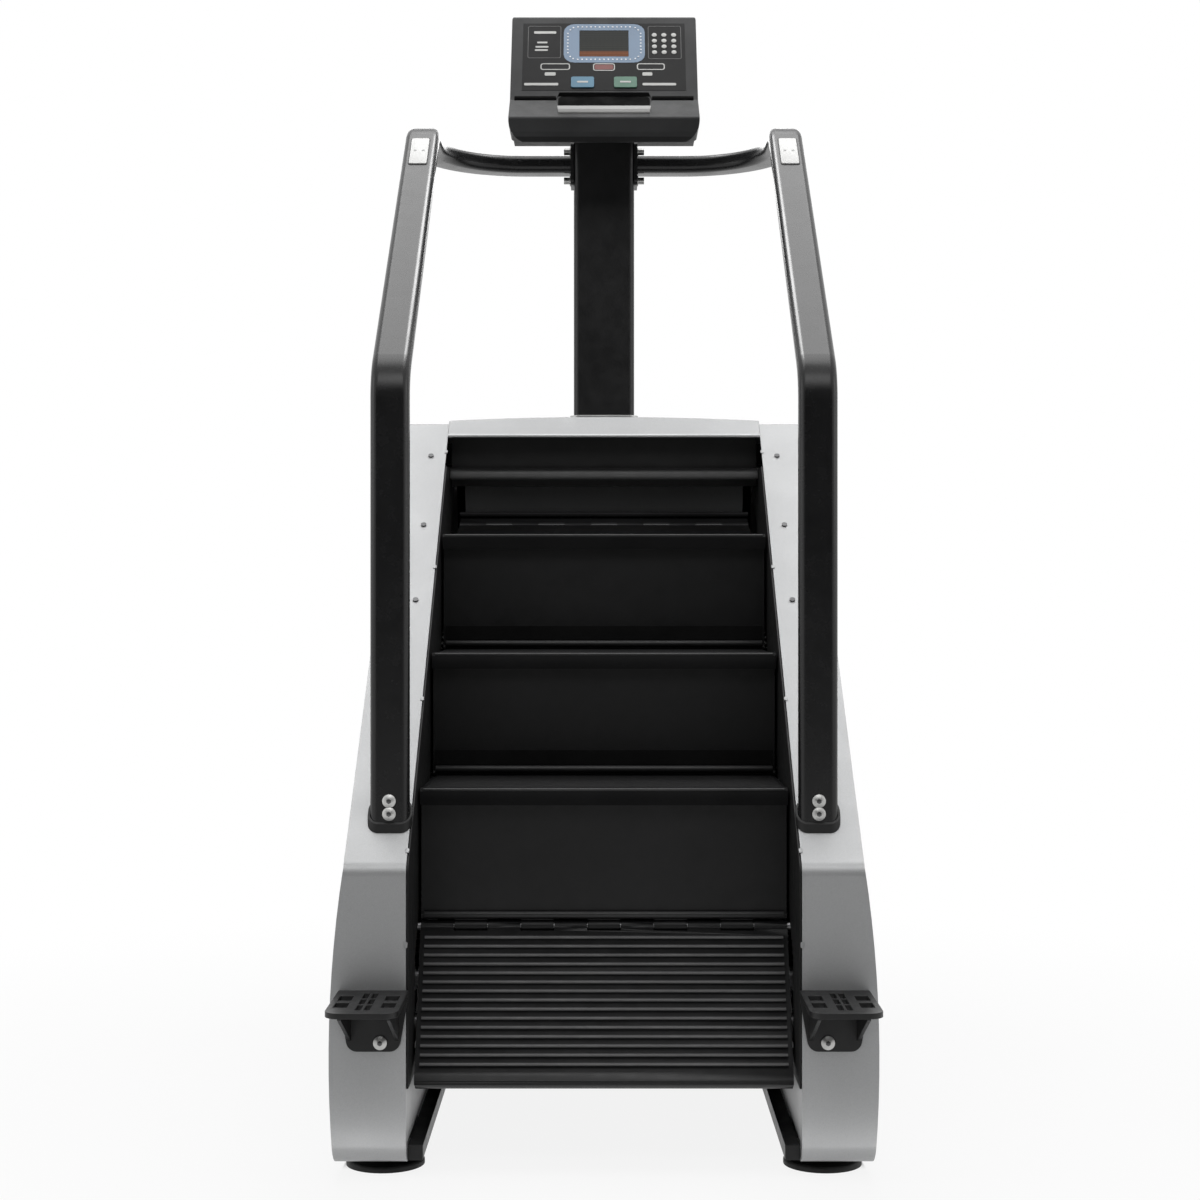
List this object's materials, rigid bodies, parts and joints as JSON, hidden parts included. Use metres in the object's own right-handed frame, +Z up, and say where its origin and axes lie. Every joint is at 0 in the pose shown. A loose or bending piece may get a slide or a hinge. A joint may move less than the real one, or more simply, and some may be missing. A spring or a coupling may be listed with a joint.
{
  "type": "stair climber",
  "caption": "Revolving-stair exercise machine: hinged ribbed treads on a chain loop between silver side covers, with bent handrails, a mast and a sloping console.",
  "frame": {"origin": "on the floor, below the middle of the machine's box", "axes": "+Z up, +Y towards the rear, so the climber steps on at -Y and faces +Y; +X to the climber's right"},
  "size_m": [0.7986, 1.5015, 1.9221],
  "materials": {
    "silver_cover": "silver metallic paint, satin",
    "silver_trim": "silver paint",
    "black_metal": "black semi-gloss powder coat",
    "black_plastic": "black, fine grain",
    "tread_metal": "black anodised ribbed extrusion",
    "riser_metal": "black anodised sheet",
    "steel": "zinc plated",
    "chain_steel": "oiled steel",
    "cast_dark": "dark grey casting",
    "pulley_metal": "turned",
    "guide_plastic": "off-white slide plastic",
    "foot_rubber": "matt black",
    "belt_rubber": "matt black",
    "box_plastic": "grey",
    "overlay_print": "printed film",
    "display": "dark window",
    "stop_blue": "blue key",
    "start_green": "green key",
    "ledge_grey": "grey"
  },
  "bodies": {
    "base": {"side_cover_left": "silver_cover", "side_cover_right": "silver_cover", "top_cover": "silver_cover", "mast_flange": "silver_trim", "base_frame": "black_metal", "frame_left": "black_metal", "frame_right": "black_metal", "mast": "black_metal", "handrail_left": "black_metal", "handrail_right": "black_metal", "rail_brackets": "black_metal", "entry_step_left": "black_metal", "entry_step_right": "black_metal", "entry_brackets": "black_metal", "guard_left": "black_plastic", "guard_right": "black_plastic", "top_apron": "black_plastic", "rear_cover": "black_plastic", "rail_collars": "black_plastic", "console_back": "black_plastic", "console_front": "black_plastic", "power_inlet": "black_plastic", "cover_screws": "steel", "frame_bolts": "steel", "shaft_bearings": "cast_dark", "motor": "cast_dark", "chain_guides": "guide_plastic", "levelling_feet": "foot_rubber", "drive_belt": "belt_rubber", "control_box": "box_plastic", "console_overlay": "overlay_print", "display_window": "display", "reading_ledge": "ledge_grey"},
    "stair_run": {"run_treads": "tread_metal", "run_risers": "riser_metal", "run_axles": "steel", "run_chain": "chain_steel"},
    "return_run": {"return_steps": "riser_metal", "return_axles": "steel", "return_chain": "chain_steel"},
    "upper_drive": {"drive_shaft": "steel", "drive_sprockets": "chain_steel", "drive_pulley": "pulley_metal", "upper_axle": "steel", "upper_chain": "chain_steel"},
    "lower_idler": {"idler_shaft": "steel", "idler_sprockets": "chain_steel", "lower_axle": "steel", "lower_chain": "chain_steel"},
    "first_tread": {"first_tread": "tread_metal"},
    "first_riser": {"first_riser": "riser_metal"},
    "top_riser": {"top_riser": "riser_metal"},
    "top_tread": {"top_tread": "tread_metal"},
    "over_riser": {"over_riser": "riser_metal"},
    "over_tread": {"over_tread": "tread_metal"},
    "under_riser": {"under_riser": "riser_metal"},
    "under_tread": {"under_tread": "tread_metal"},
    "motor_rotor": {"motor_pulley": "steel"},
    "stop_button": {"stop_key": "stop_blue"},
    "start_button": {"start_key": "start_green"}
  },
  "joints": [
    {"name": "stair_travel", "type": "slide", "parent": "base", "child": "stair_run", "axis": [0, 0.7484, 0.6632], "range_m": [0, 0.05]},
    {"name": "return_travel", "type": "slide", "parent": "base", "child": "return_run", "axis": [0, -0.7484, -0.6632], "range_m": [0, 0.051]},
    {"name": "upper_shaft_turn", "type": "hinge", "parent": "base", "child": "upper_drive", "pos_m": [0, 0.32794, 0.87134], "axis": [1, 0, 0], "range_deg": [-34, 0]},
    {"name": "lower_shaft_turn", "type": "hinge", "parent": "base", "child": "lower_idler", "pos_m": [0, -0.3667, 0.2558], "axis": [1, 0, 0], "range_deg": [-34, 0]},
    {"name": "motor_turn", "type": "hinge", "parent": "base", "child": "motor_rotor", "pos_m": [0, 0.52794, 0.25], "axis": [1, 0, 0], "range_deg": [-120, 0]},
    {"name": "first_tread_hinge", "type": "hinge", "parent": "stair_run", "child": "first_tread", "pos_m": [0, -0.40296, 0.34196], "axis": [1, 0, 0], "range_deg": [-27, 0]},
    {"name": "first_nose_hinge", "type": "hinge", "parent": "first_tread", "child": "first_riser", "pos_m": [0, -0.50838, 0.14239], "axis": [1, 0, 0], "range_deg": [-9, 0]},
    {"name": "top_riser_hinge", "type": "hinge", "parent": "stair_run", "child": "top_riser", "pos_m": [0, 0.04844, 0.74196], "axis": [1, 0, 0], "range_deg": [-4, 0]},
    {"name": "top_nose_hinge", "type": "hinge", "parent": "top_riser", "child": "top_tread", "pos_m": [0, 0.04859, 0.94196], "axis": [1, 0, 0], "range_deg": [-3, 0]},
    {"name": "over_riser_hinge", "type": "hinge", "parent": "upper_drive", "child": "over_riser", "pos_m": [0, 0.2743, 0.94177], "axis": [1, 0, 0], "range_deg": [-3, 0]},
    {"name": "over_nose_hinge", "type": "hinge", "parent": "over_riser", "child": "over_tread", "pos_m": [0, 0.46962, 0.98475], "axis": [1, 0, 0], "range_deg": [0, 9]},
    {"name": "under_riser_hinge", "type": "hinge", "parent": "return_run", "child": "under_riser", "pos_m": [0, -0.0872, 0.38519], "axis": [1, 0, 0], "range_deg": [-4, 0]},
    {"name": "under_nose_hinge", "type": "hinge", "parent": "under_riser", "child": "under_tread", "pos_m": [0, -0.08736, 0.18519], "axis": [1, 0, 0], "range_deg": [-3, 0]},
    {"name": "stop_press", "type": "slide", "parent": "base", "child": "stop_button", "axis": [0, 0.866, -0.5], "range_m": [0, 0.001], "stiffness_N_per_m": 600},
    {"name": "start_press", "type": "slide", "parent": "base", "child": "start_button", "axis": [0, 0.866, -0.5], "range_m": [0, 0.001], "stiffness_N_per_m": 600}
  ],
  "couplings": [
    {"joint": "return_travel", "follows": "stair_travel", "ratio": 1},
    {"joint": "upper_shaft_turn", "follows": "stair_travel", "rad_per_m": -11.295},
    {"joint": "lower_shaft_turn", "follows": "stair_travel", "rad_per_m": -11.295},
    {"joint": "motor_turn", "follows": "stair_travel", "rad_per_m": -41.417},
    {"joint": "first_tread_hinge", "follows": "stair_travel", "rad_per_m": -9.05},
    {"joint": "first_nose_hinge", "follows": "stair_travel", "rad_per_m": -2.69},
    {"joint": "top_riser_hinge", "follows": "stair_travel", "rad_per_m": -0.8},
    {"joint": "top_nose_hinge", "follows": "stair_travel", "rad_per_m": -0.35},
    {"joint": "over_riser_hinge", "follows": "stair_travel", "rad_per_m": -0.44455},
    {"joint": "over_nose_hinge", "follows": "stair_travel", "rad_per_m": 2.69},
    {"joint": "under_riser_hinge", "follows": "stair_travel", "rad_per_m": -0.79},
    {"joint": "under_nose_hinge", "follows": "stair_travel", "rad_per_m": -0.36}
  ]
}
